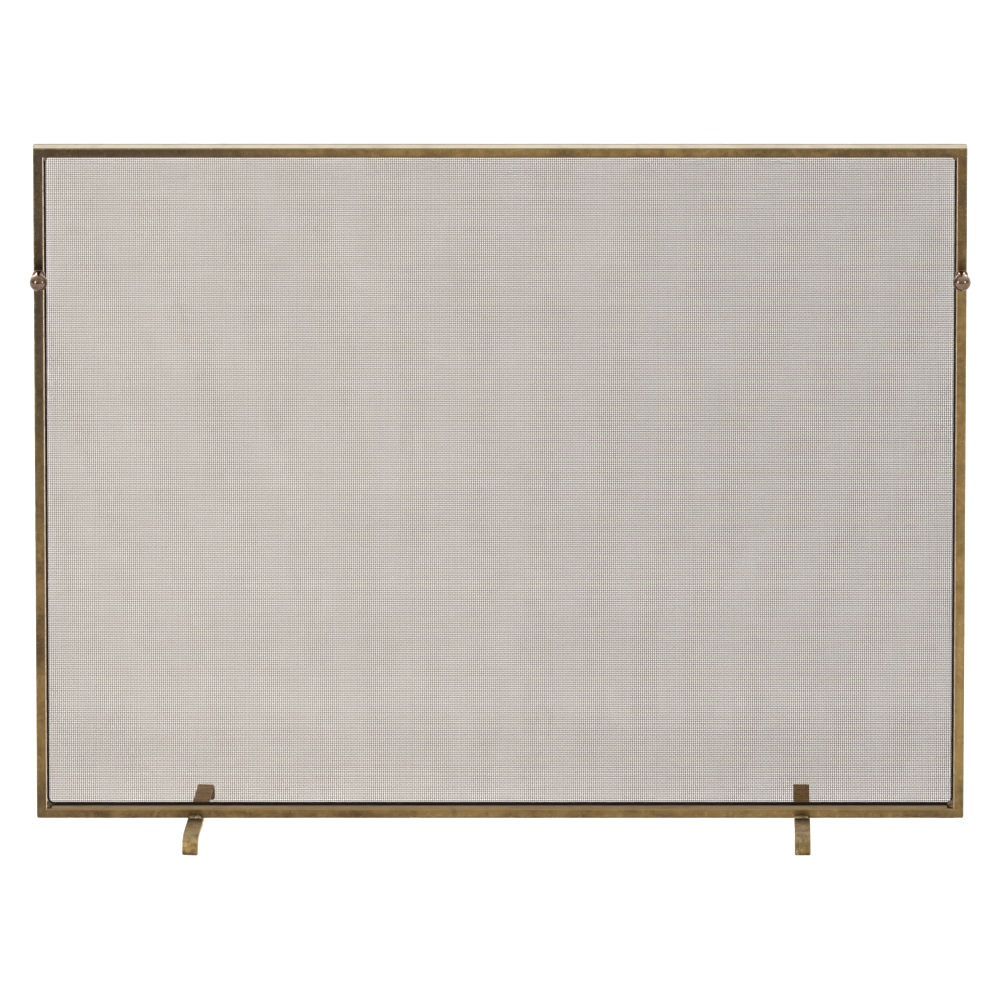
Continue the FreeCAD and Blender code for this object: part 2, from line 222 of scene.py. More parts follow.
# =========================== shared surface effects ===========================
def make_patina():
    """Cloudy tarnish over metal: broad clouds, small blotches and fine dark specks."""
    inputs = [
        ("Place", "NodeSocketVector", None),
        ("Bright Metal", "NodeSocketColor", (0.30, 0.20, 0.085, 1.0)),
        ("Tarnish", "NodeSocketColor", (0.12, 0.085, 0.045, 1.0)),
        ("Stain", "NodeSocketColor", (0.12, 0.11, 0.05, 1.0)),
        ("Cloud Size", "NodeSocketFloat", 0.05),
        ("Tarnish Amount", "NodeSocketFloat", 0.5),
        ("Speck Amount", "NodeSocketFloat", 0.4),
    ]
    outputs = [("Color", "NodeSocketColor"), ("Mask", "NodeSocketFloat"),
               ("Height", "NodeSocketFloat")]
    group, given, out = new_group("patina", "ShaderNodeTree", inputs, outputs)
    place = given.outputs["Place"]
    density = maths(group, "DIVIDE", 1.0, given.outputs["Cloud Size"])
    clouds = noise(group, place, density, 5.0, 0.6)
    blotches = noise(group, place, times(group, density, 5.0), 3.0, 0.6)
    specks = noise(group, place, times(group, density, 42.0), 2.0, 0.5)
    both = maths(group, "ADD", times(group, clouds, 0.6), times(group, blotches, 0.4))
    edge = maths(group, "SUBTRACT", 0.72, times(group, given.outputs["Tarnish Amount"], 0.44))
    mask = ramp(group, both, maths(group, "SUBTRACT", edge, 0.12), maths(group, "ADD", edge, 0.12))
    colour = mix_colour(group, mask, given.outputs["Bright Metal"], given.outputs["Tarnish"])
    elsewhere = vector_maths(group, "ADD", place, (3.1, 0.7, 1.9))
    stain = ramp(group, noise(group, elsewhere, times(group, density, 1.7), 3.0), 0.52, 0.68)
    colour = mix_colour(group, times(group, stain, 0.55), colour, given.outputs["Stain"])
    dots = times(group, ramp(group, specks, 0.60, 0.72), given.outputs["Speck Amount"])
    dark = mix_colour(group, 0.65, given.outputs["Tarnish"], (0.01, 0.008, 0.006, 1.0))
    colour = mix_colour(group, dots, colour, dark)
    group.links.new(colour, out.inputs["Color"])
    group.links.new(mask, out.inputs["Mask"])
    group.links.new(maths(group, "SUBTRACT", blotches, times(group, dots, 0.5)),
                    out.inputs["Height"])
    return group


def make_scratches():
    """Fine streaks drawn along one axis of the piece, as rolled and rubbed bar has."""
    inputs = [
        ("Place", "NodeSocketVector", None),
        ("Stretch", "NodeSocketVector", (1.0, 1.0, 1.0)),
        ("Fineness", "NodeSocketFloat", 900.0),
    ]
    group, given, out = new_group("scratches", "ShaderNodeTree", inputs,
                                  [("Streaks", "NodeSocketFloat")])
    place = vector_maths(group, "MULTIPLY", given.outputs["Place"], given.outputs["Stretch"])
    fine = noise(group, place, given.outputs["Fineness"], 3.0, 0.7)
    broad = noise(group, place, times(group, given.outputs["Fineness"], 0.17), 2.0)
    streaks = maths(group, "ADD", times(group, fine, 0.6), times(group, broad, 0.4))
    group.links.new(ramp(group, streaks, 0.35, 0.65), out.inputs["Streaks"])
    return group


PATINA = make_patina()
SCRATCHES = make_scratches()


def placed_group(tree, group, inputs):
    return add(tree, "ShaderNodeGroup", inputs, node_tree=group)


def facing_parts(tree):
    normal = add(tree, "ShaderNodeTexCoord").outputs["Normal"]
    return add(tree, "ShaderNodeSeparateXYZ", {0: normal}).outputs


def new_material(name, metallic, **shader_values):
    """A material with its Principled shader.  Returns the material, tree, shader and place."""
    material = bpy.data.materials.new(name)
    material.use_nodes = True
    tree = material.node_tree
    shader = tree.nodes["Principled BSDF"]
    shader.inputs["Metallic"].default_value = metallic
    for key, value in shader_values.items():
        shader.inputs[key.replace("_", " ")].default_value = value
    place = add(tree, "ShaderNodeTexCoord").outputs["Object"]
    return material, tree, shader, place


def bumped(tree, shader, height, strength, distance):
    bump = add(tree, "ShaderNodeBump", {"Height": height, "Strength": strength,
                                        "Distance": distance})
    tree.links.new(bump.outputs["Normal"], shader.inputs["Normal"])


def bar_places(tree, place):
    """Where a point lies on the frame: depth in from its outline and, on a level bar, height."""
    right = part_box("right_stile")[1].x
    bottom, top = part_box("bottom_rail")[0].z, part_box("top_rail")[1].z
    parts = add(tree, "ShaderNodeSeparateXYZ", {0: place}).outputs
    sideways = maths(tree, "SUBTRACT", right, maths(tree, "ABSOLUTE", parts["X"]))
    above = maths(tree, "SUBTRACT", parts["Z"], bottom)
    below = maths(tree, "SUBTRACT", top, parts["Z"])
    level = maths(tree, "MINIMUM", above, below)
    is_level = maths(tree, "LESS_THAN", level, sideways)
    depth = maths(tree, "DIVIDE", maths(tree, "MINIMUM", level, sideways), BAR_FACE)
    rise = maths(tree, "DIVIDE", maths(tree, "MODULO", above, top - bottom - BAR_FACE), BAR_FACE)
    return parts, depth, is_level, maths(tree, "MINIMUM", rise, 1.0)


def darkening_by_place(tree, x, z):
    """How much darker the bars are made: most at the upper left, some at the other corners."""
    upper_two_thirds = ramp(tree, z, 0.22, 0.62)
    left_part = ramp(tree, times(tree, x, -1.0), 0.12, 0.40)
    left_share = times(tree, times(tree, upper_two_thirds, left_part), 0.95)
    high = ramp(tree, z, 0.56, 0.74)
    right_part = ramp(tree, x, 0.22, 0.42)
    right_share = times(tree, times(tree, high, right_part), 0.34)
    ends = ramp(tree, maths(tree, "ABSOLUTE", x), 0.415, 0.465)
    low = fade(tree, z, 0.035, 0.09)
    lower_corners = times(tree, times(tree, ends, low), 0.42)
    return maths(tree, "ADD", maths(tree, "ADD", left_share, right_share), lower_corners,
                 clamp=True)


def brightening_by_place(tree, x, z):
    """Where the brass is made brighter: low on the right side, and between the feet."""
    lower_third = times(tree, fade(tree, z, 0.24, 0.42), 0.62)
    below_knob = times(tree, fade(tree, z, 0.56, 0.72), 0.34)
    right_stile = times(tree, ramp(tree, x, 0.47, 0.49),
                        maths(tree, "ADD", lower_third, below_knob))
    from_middle = maths(tree, "ABSOLUTE", maths(tree, "SUBTRACT", x, 0.12))
    between_feet = times(tree, fade(tree, from_middle, 0.16, 0.30), fade(tree, z, 0.04, 0.10))
    return maths(tree, "MAXIMUM", right_stile, times(tree, between_feet, 0.42))


def grain(tree, place, is_level, fineness):
    """Streaks that run along each bar, level or upright."""
    along_level = placed_group(tree, SCRATCHES, {"Place": place, "Stretch": (0.03, 1.0, 1.0),
                                                 "Fineness": fineness})
    along_upright = placed_group(tree, SCRATCHES, {"Place": place, "Stretch": (1.0, 1.0, 0.03),
                                                   "Fineness": fineness})
    return choose(tree, is_level, along_upright.outputs["Streaks"],
                  along_level.outputs["Streaks"])


def clouded_brass(tree, place, x, z, patina, streaks, broad_streaks):
    """The brass of a bar before its edges: darker and brighter by place, blotches, flecks and
    streaks.
    """
    # the brass is made brighter by place, and then darker by place
    rubbed = times(tree, brightening_by_place(tree, x, z), 0.85)
    colour = mix_colour(tree, rubbed, patina.outputs["Color"], BRIGHTENED_GOLD)
    colour = mix_colour(tree, darkening_by_place(tree, x, z), colour, DARKENED_BRASS)
    blotches = ramp(tree, noise(tree, place, 85.0, 4.0, 0.6), 0.52, 0.66)
    elsewhere = vector_maths(tree, "ADD", place, (0.4, 0.9, 0.2))
    flecks = ramp(tree, noise(tree, elsewhere, 150.0, 4.0, 0.65), 0.54, 0.66)
    colour = tinted(tree, times(tree, blotches, 0.45), colour, BLOTCH_TINT)
    colour = tinted(tree, times(tree, flecks, 0.45), colour, FLECK_TINT)
    colour = tinted(tree, times(tree, broad_streaks, 0.30), colour, BROAD_STREAK_TINT)
    return tinted(tree, times(tree, streaks, 0.40), colour, FINE_STREAK_TINT)


def bar_edges(tree, place, colour, depth, is_level, rise, low_bar):
    """Redder inner third, olive outline, painted highlight at the crest and painted shade at the
    lower edge of a level bar, bright specks.
    """
    patches = noise(tree, place, 45.0, 4.0)
    inner = times(tree, ramp(tree, depth, 0.60, 0.90), ramp(tree, patches, 0.35, 0.6))
    colour = mix_colour(tree, times(tree, inner, 0.5), colour, INNER_RED)
    outline = times(tree, fade(tree, depth, 0.05, 0.20), ramp(tree, patches, 0.3, 0.7))
    colour = mix_colour(tree, times(tree, outline, 0.7), colour, OLIVE_OUTLINE)
    # painted shade: the lower edge of a level bar is darkened
    lower_edge_shade = times(tree, times(tree, is_level, 0.35), fade(tree, rise, 0.05, 0.30))
    colour = mix_colour(tree, lower_edge_shade, colour, LOWER_EDGE_SHADE)
    # painted highlight along the crest of a level bar
    crest_highlight = times(tree, times(tree, ramp(tree, rise, 0.76, 0.95), is_level), 0.55)
    crest_tone = mix_colour(tree, low_bar, TOP_RAIL_CREST_HIGHLIGHT, BOTTOM_RAIL_CREST_HIGHLIGHT)
    colour = mix_colour(tree, crest_highlight, colour, crest_tone)
    # specks lie thick along the outline and thinly elsewhere
    speck_share = maths(tree, "ADD", times(tree, fade(tree, depth, 0.03, 0.22), 0.7), 0.12)
    specks = times(tree, ramp(tree, noise(tree, place, 620.0, 2.0), 0.60, 0.70), speck_share)
    return mix_colour(tree, specks, colour, BRIGHT_SPECK)


def upward_face_reflection(tree, parts, mask, low_bar):
    """Painted reflection on faces that look up: clouded, with a dark line along the rear edge."""
    tone = mix_colour(tree, low_bar, TOP_RAIL_UPPER_REFLECTION, BOTTOM_RAIL_UPPER_REFLECTION)
    tone = tinted(tree, times(tree, mask, 0.35), tone, CLOUD_TINT)
    frame_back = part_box("top_rail")[1].y
    rear_edge = ramp(tree, parts["Y"], frame_back - 0.0054, frame_back - 0.0040)
    tone = mix_colour(tree, times(tree, rear_edge, 0.85), tone, REAR_LINE)
    # painted reflection of the woven wire in the bottom rail's upper face, as fine dark stripes
    stripes = maths(tree, "SINE", times(tree, parts["X"], 2.0 * math.pi / WIRE_PITCH))
    wire_reflection_stripes = times(tree, times(tree, ramp(tree, stripes, -0.2, 0.8), low_bar), 0.5)
    return tinted(tree, wire_reflection_stripes, tone, WIRE_REFLECTION_TINT)


def inner_side_highlight(tree, place, colour, parts, depth, is_level, facing):
    """Painted highlight on the inner side faces and inner edges of the stiles, broken into
    patches.
    """
    inward = times(tree, times(tree, parts["X"], -1.0), facing["X"])
    inner_edge = times(tree, ramp(tree, depth, 0.88, 0.95),
                       maths(tree, "SUBTRACT", 1.0, is_level))
    lip = maths(tree, "MAXIMUM", ramp(tree, inward, 0.10, 0.30), inner_edge)
    # the painted highlight is broken into patches
    worn = ramp(tree, noise(tree, place, 500.0, 2.0), 0.20, 0.55)
    tone = mix_colour(tree, ramp(tree, parts["X"], -0.1, 0.1), LEFT_INNER_HIGHLIGHT, RIGHT_INNER_HIGHLIGHT)
    return mix_colour(tree, times(tree, lip, worn), colour, tone)


def bar_brass():
    """Antique brass on the four bars: olive outline, dark clouded middle, reddish inner side."""
    material, tree, shader, place = new_material("antique_brass_bar", 1.0)
    parts, depth, is_level, rise = bar_places(tree, place)
    facing = facing_parts(tree)
    low_bar = maths(tree, "LESS_THAN", parts["Z"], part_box("left_stile")[1].z / 2.0)
    patina = placed_group(tree, PATINA, {
        "Place": place, "Bright Metal": BAR_METAL, "Tarnish": BAR_TARNISH, "Stain": BAR_STAIN,
        "Cloud Size": 0.06, "Tarnish Amount": 0.42, "Speck Amount": 0.55})
    mask = patina.outputs["Mask"]
    streaks = grain(tree, place, is_level, 1100.0)
    broad_streaks = grain(tree, place, is_level, 300.0)
    colour = clouded_brass(tree, place, parts["X"], parts["Z"], patina, streaks, broad_streaks)
    colour = bar_edges(tree, place, colour, depth, is_level, rise, low_bar)
    # painted reflection on the faces that look up
    upward = ramp(tree, facing["Z"], 0.80, 0.97)
    colour = mix_colour(tree, upward, colour, upward_face_reflection(tree, parts, mask, low_bar))
    colour = inner_side_highlight(tree, place, colour, parts, depth, is_level, facing)
    tree.links.new(colour, shader.inputs["Base Color"])
    dulled = maths(tree, "ADD", times(tree, mask, 0.6), times(tree, streaks, 0.4))
    tree.links.new(spread(tree, dulled, 0.28, 0.48), shader.inputs["Roughness"])
    height = maths(tree, "ADD", times(tree, streaks, 0.3), patina.outputs["Height"])
    bumped(tree, shader, height, 0.5, 0.00022)
    return material


def bent_end_gold(tree, place, is_right):
    """Gold at the bent ends: reddish and pale patches, brushed across on the right foot."""
    patches = noise(tree, place, 190.0, 3.0)
    gold = mix_colour(tree, ramp(tree, patches, 0.42, 0.56), BEND_GOLD, BEND_BROWN)
    red = ramp(tree, noise(tree, place, 110.0, 2.0), 0.55, 0.66)
    gold = mix_colour(tree, red, gold, BEND_RED)
    pale = ramp(tree, noise(tree, place, 150.0, 1.0), 0.66, 0.72)
    gold = mix_colour(tree, times(tree, pale, 0.7), gold, BEND_PALE)
    brushed = placed_group(tree, SCRATCHES, {"Place": place, "Stretch": (1.0, 0.08, 0.08),
                                             "Fineness": 420.0}).outputs["Streaks"]
    golden_band = mix_colour(tree, brushed, BRUSHED_GOLD, BRUSHED_SHADE)
    return mix_colour(tree, times(tree, is_right, 0.85), gold, golden_band)


def foot_brass():
    """Worn brass strap: speckled on top, gold at the bent ends, painted dark with shade behind the
    frame.
    """
    material, tree, shader, place = new_material("worn_brass_foot", 1.0,
                                                 Specular_Tint=FOOT_RIM_TINT)
    parts = add(tree, "ShaderNodeSeparateXYZ", {0: place}).outputs
    facing = facing_parts(tree)
    patina = placed_group(tree, PATINA, {
        "Place": place, "Bright Metal": FOOT_METAL, "Tarnish": FOOT_TARNISH,
        "Stain": FOOT_STAIN, "Cloud Size": 0.010, "Tarnish Amount": 0.45, "Speck Amount": 0.9})
    is_right = maths(tree, "GREATER_THAN", parts["X"], 0.0)
    bent_end = times(tree, fade(tree, parts["Z"], 0.0135, 0.0185), 0.9)
    colour = mix_colour(tree, bent_end, patina.outputs["Color"],
                        bent_end_gold(tree, place, is_right))
    # painted shade where the foot comes down to the floor
    floor_contact_shade = times(tree, fade(tree, parts["Z"], 0.001, 0.004), 0.75)
    colour = mix_colour(tree, floor_contact_shade, colour, FLOOR_CONTACT_SHADE)
    # painted shadow of the cloth: the part of each foot behind the frame is darkened
    frame_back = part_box("bottom_rail")[1].y
    shaded_behind_frame = ramp(tree, parts["Y"], frame_back - 0.004, frame_back + 0.004)
    unshaded = maths(tree, "SUBTRACT", 1.0, shaded_behind_frame)
    colour = mix_colour(tree, times(tree, shaded_behind_frame, 0.93), colour, SHADE_BEHIND_FRAME)
    # nicks and bright specks, thickest near the left-hand edge of each strap
    left_edge = choose(tree, is_right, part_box("left_foot")[0].x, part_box("right_foot")[0].x)
    near_edge = fade(tree, maths(tree, "SUBTRACT", parts["X"], left_edge), 0.002, 0.008)
    nick_share = maths(tree, "ADD", times(tree, near_edge, 0.75), 0.30)
    nicks = times(tree, ramp(tree, noise(tree, place, 620.0, 2.0), 0.62, 0.70), nick_share)
    colour = mix_colour(tree, times(tree, nicks, unshaded), colour, NICK)
    # painted reflection makes the side faces bright
    sideways = ramp(tree, maths(tree, "ABSOLUTE", facing["X"]), 0.55, 0.85)
    side = times(tree, times(tree, sideways, unshaded), 0.85)
    colour = mix_colour(tree, side, colour, SIDE_FACE_REFLECTION)
    tree.links.new(colour, shader.inputs["Base Color"])
    tree.links.new(spread(tree, patina.outputs["Mask"], 0.34, 0.58), shader.inputs["Roughness"])
    bumped(tree, shader, patina.outputs["Height"], 0.8, 0.0006)
    return material


def small_brass(name, bright, tarnish, stain, cloud, amount, roughness, bump_depth, specks):
    """Brass on a small turned or welded piece."""
    material, tree, shader, place = new_material(name, 1.0)
    patina = placed_group(tree, PATINA, {
        "Place": place, "Bright Metal": bright, "Tarnish": tarnish, "Stain": stain,
        "Cloud Size": cloud, "Tarnish Amount": amount, "Speck Amount": specks})
    tree.links.new(patina.outputs["Color"], shader.inputs["Base Color"])
    tree.links.new(spread(tree, patina.outputs["Mask"], *roughness), shader.inputs["Roughness"])
    bumped(tree, shader, patina.outputs["Height"], 0.5, bump_depth)
    return material


def drawn_wire():
    """Brass-washed steel wire, dulled in soft patches, with painted shade that makes it darker to
    the right.
    """
    material, tree, shader, place = new_material("brass_washed_wire", 1.0,
                                                 Specular_Tint=WIRE_RIM_TINT)
    parts = add(tree, "ShaderNodeSeparateXYZ", {0: place}).outputs
    patches = noise(tree, place, 6.0, 4.0)
    fine = noise(tree, place, 900.0, 2.0)
    patchy = times(tree, maths(tree, "SUBTRACT", patches, 0.5), 0.8)
    # painted shade: the wire darkens from left to right, broken by the soft patches
    drift = maths(tree, "ADD", ramp(tree, parts["X"], -0.40, 0.45), patchy, clamp=True)
    colour = mix_colour(tree, drift, LIT_LEFT_WIRE, SHADED_RIGHT_WIRE)
    colour = mix_colour(tree, times(tree, fine, 0.4), colour, DULL_WIRE)
    tree.links.new(colour, shader.inputs["Base Color"])
    tree.links.new(spread(tree, fine, 0.38, 0.60), shader.inputs["Roughness"])
    bumped(tree, shader, fine, 0.25, 0.00005)
    return material


def black_paint():
    """Satin black paint over drawn rod, thin and slightly brown where it has rubbed."""
    material, tree, shader, place = new_material("black_rod_paint", 0.0, Specular_IOR_Level=0.15)
    wear = noise(tree, place, 160.0, 4.0)
    colour = mix_colour(tree, ramp(tree, wear, 0.6, 0.78), BLACK_PAINT, WORN_PAINT)
    tree.links.new(colour, shader.inputs["Base Color"])
    tree.links.new(spread(tree, wear, 0.45, 0.7), shader.inputs["Roughness"])
    bumped(tree, shader, wear, 0.4, 0.0001)
    return material


MATERIALS = {
    "bar": bar_brass(),
    "foot": foot_brass(),
    "weld": small_brass("plated_weld", (0.30, 0.235, 0.145, 1), (0.115, 0.088, 0.050, 1),
                        (0.15, 0.125, 0.065, 1), 0.004, 0.5, (0.24, 0.5), 0.0002, 0.3),
    "screw": small_brass("plated_screw", (0.30, 0.25, 0.17, 1), (0.10, 0.08, 0.055, 1),
                         (0.15, 0.12, 0.07, 1), 0.01, 0.4, (0.25, 0.5), 0.0001, 0.3),
    "knob": small_brass("polished_antique_brass", (0.25, 0.175, 0.125, 1),
                        (0.125, 0.082, 0.055, 1), (0.21, 0.105, 0.075, 1), 0.009, 0.5,
                        (0.06, 0.16), 0.00002, 0.25),
    "wire": drawn_wire(),
    "rod": black_paint(),
}

NODE_MATERIALS = {
    "bar": ["top_rail", "bottom_rail", "left_stile", "right_stile"],
    "rod": ["top_rod", "bottom_rod", "left_rod", "right_rod"],
    "foot": ["left_foot", "right_foot"],
    "knob": ["left_knob", "right_knob", "left_knob_collar", "right_knob_collar"],
    "screw": ["left_knob_screw", "right_knob_screw", "left_knob_washer", "right_knob_washer"],
}


def dress_cad_nodes():
    for material, names in NODE_MATERIALS.items():
        for name in names:
            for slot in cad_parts[name].material_slots:
                slot.material = MATERIALS[material]


# =========================== geometry node trees ===========================
def flat_piece(name, tree, values, replaced):
    """Runs a geometry tree once and keeps its result as a plain mesh piece."""
    holder = bpy.data.objects.new(name + "_maker", bpy.data.meshes.new(name + "_maker"))
    bpy.context.scene.collection.objects.link(holder)
    modifier = holder.modifiers.new("maker", "NODES")
    modifier.node_group = tree
    for item in tree.interface.items_tree:
        if item.item_type == "SOCKET" and item.in_out == "INPUT" and item.name in values:
            modifier[item.identifier] = values[item.name]
    holder.update_tag()
    graph = bpy.context.evaluated_depsgraph_get()
    mesh = bpy.data.meshes.new_from_object(holder.evaluated_get(graph))
    mesh.name = name
    kept = [material for material in mesh.materials if material]
    mesh.materials.clear()
    for material in kept:
        mesh.materials.append(material)
    mesh.polygons.foreach_set("material_index", [0] * len(mesh.polygons))
    bpy.data.objects.remove(holder)
    piece = bpy.data.objects.new(name, mesh)
    bpy.context.scene.collection.objects.link(piece)
    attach(piece, "root")
    if replaced:
        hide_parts(*replaced)
    return piece


def make_wire_tree(name, material):
    """A rank of parallel wires.  Each runs along its local X, bending once at every crossing."""
    inputs = [
        ("Wires", "NodeSocketInt", 10),
        ("Crossings", "NodeSocketInt", 10),
        ("Crossing Pitch", "NodeSocketFloat", WIRE_PITCH),
        ("Wire Pitch", "NodeSocketFloat", WIRE_PITCH),
        ("First Wire", "NodeSocketInt", 0),
        ("Crimp", "NodeSocketFloat", WIRE_DIAMETER),
        ("Wire Radius", "NodeSocketFloat", WIRE_DIAMETER / 2.0),
        ("Sides", "NodeSocketInt", 3),
        ("Upright", "NodeSocketBool", False),
        ("Corner", "NodeSocketVector", (0.0, 0.0, 0.0)),
        ("Jitter", "NodeSocketFloat", WIRE_JITTER),
        ("Drift", "NodeSocketFloat", WIRE_DRIFT),
        ("Drift Patch", "NodeSocketFloat", DRIFT_PATCH),
        ("Seed", "NodeSocketInt", 1),
    ]
    group, given, out = new_group(name, "GeometryNodeTree", inputs,
                                  [("Geometry", "NodeSocketGeometry")])
    value = given.outputs

    def parity(whole):
        return maths(group, "MODULO", whole, 2.0)

    def centred(share):
        return maths(group, "SUBTRACT", times(group, share, 2.0), 1.0)

    # one wire along X, with a point at every crossing
    points = maths(group, "ADD", value["Crossings"], 1.0)
    line = add(group, "GeometryNodeMeshLine", {"Count": points,
                                               "Offset": vector(group, value["Crossing Pitch"])},
               mode="OFFSET")
    index = add(group, "GeometryNodeInputIndex").outputs[0]
    bend = times(group, value["Crimp"], centred(parity(index)))
    zigzag = add(group, "GeometryNodeSetPosition", {"Geometry": line.outputs[0],
                                                    "Offset": vector(group, 0.0, bend)})
    curve = add(group, "GeometryNodeMeshToCurve", {"Mesh": zigzag.outputs[0]})
    section = add(group, "GeometryNodeCurvePrimitiveCircle", {"Resolution": value["Sides"],
                                                              "Radius": value["Wire Radius"]})
    wire = add(group, "GeometryNodeCurveToMesh", {"Curve": curve.outputs[0],
                                                  "Profile Curve": section.outputs[0],
                                                  "Fill Caps": True})
    # the rank: every other wire is turned over, so that its bends are the other way
    first = times(group, value["First Wire"], value["Wire Pitch"])
    rank = add(group, "GeometryNodeMeshLine", {
        "Count": value["Wires"], "Start Location": vector(group, 0.0, 0.0, first),
        "Offset": vector(group, 0.0, 0.0, value["Wire Pitch"])}, mode="OFFSET")
    wire_number = maths(group, "ADD", index, value["First Wire"])
    off = add(group, "FunctionNodeRandomValue", {"ID": wire_number, "Seed": value["Seed"]},
              data_type="FLOAT")
    off_place = times(group, value["Jitter"], centred(off.outputs[1]))
    uneven = add(group, "GeometryNodeSetPosition", {
        "Geometry": rank.outputs[0], "Offset": vector(group, 0.0, 0.0, off_place)})
    turn = times(group, parity(wire_number), math.pi)
    wires = add(group, "GeometryNodeInstanceOnPoints", {"Points": uneven.outputs[0],
                                                        "Instance": wire.outputs[0],
                                                        "Rotation": vector(group, turn)})
    real = add(group, "GeometryNodeRealizeInstances", {"Geometry": wires.outputs[0]})
    # upright wires are the same rank turned so that X and Z change places
    turned = add(group, "GeometryNodeTransform", {"Geometry": real.outputs[0],
                                                  "Rotation": (0.0, -math.pi / 2.0, math.pi)})
    chosen = add(group, "GeometryNodeSwitch", {"Switch": value["Upright"],
                                               "False": real.outputs[0],
                                               "True": turned.outputs[0]},
                 input_type="GEOMETRY")
    seated = add(group, "GeometryNodeTransform", {"Geometry": chosen.outputs[0],
                                                  "Translation": value["Corner"]})
    # the same slow drift moves both ranks, so that the weave wanders as one cloth
    place = add(group, "GeometryNodeInputPosition").outputs[0]
    density = maths(group, "DIVIDE", 1.0, value["Drift Patch"])
    field = add(group, "ShaderNodeTexNoise", {"Vector": place, "Scale": density, "Detail": 2.0})
    swing = vector_maths(group, "SUBTRACT", field.outputs["Color"], (0.5, 0.5, 0.5))
    in_plane = vector_maths(group, "MULTIPLY", swing, (2.0, 0.0, 2.0))
    drifted = add(group, "GeometryNodeSetPosition", {
        "Geometry": seated.outputs[0],
        "Offset": scaled_vector(group, in_plane, value["Drift"])})
    smooth = add(group, "GeometryNodeSetShadeSmooth", {"Geometry": drifted.outputs[0]})
    dressed = add(group, "GeometryNodeSetMaterial", {"Geometry": smooth.outputs[0],
                                                     "Material": material})
    group.links.new(dressed.outputs[0], out.inputs[0])
    return group


def weave_cloth():
    """Upright wires in one piece and level wires in bands, all standing for the CAD cloth."""
    low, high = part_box("mesh_cloth")
    width, height = high.x - low.x, high.z - low.z
    middle = (low.y + high.y) / 2.0
    uprights = round(width / WIRE_PITCH)
    levels = round(height / WIRE_PITCH)
    across, up = width / uprights, height / levels
    tree = make_wire_tree("woven_wires", MATERIALS["wire"])
    cloth = [flat_piece("cloth_warp_wires", tree, {
        "Wires": uprights, "Wire Pitch": across, "Crossings": WARP_BENDS,
        "Crossing Pitch": height / WARP_BENDS, "Crimp": 0.0, "Sides": WARP_SIDES, "Upright": True,
        "Wire Radius": WIRE_DIAMETER / 2.0, "Corner": (low.x + across / 2.0, middle, low.z),
        "Seed": 3}, ["mesh_cloth"])]
    rows = math.ceil(levels / WEFT_BANDS)
    for band in range(WEFT_BANDS):
        count = min(rows, levels - band * rows)
        cloth.append(flat_piece("cloth_weft_band_%d" % (band + 1), tree, {
            "Wires": count, "First Wire": band * rows, "Wire Pitch": up,
            "Crossings": uprights - 1, "Crossing Pitch": across, "Crimp": WIRE_DIAMETER,
            "Sides": WEFT_SIDES, "Upright": False, "Wire Radius": WIRE_DIAMETER / math.sqrt(3.0),
            "Corner": (low.x + across / 2.0, middle, low.z + up / 2.0), "Seed": 8},
            ["mesh_cloth"]))
    return cloth


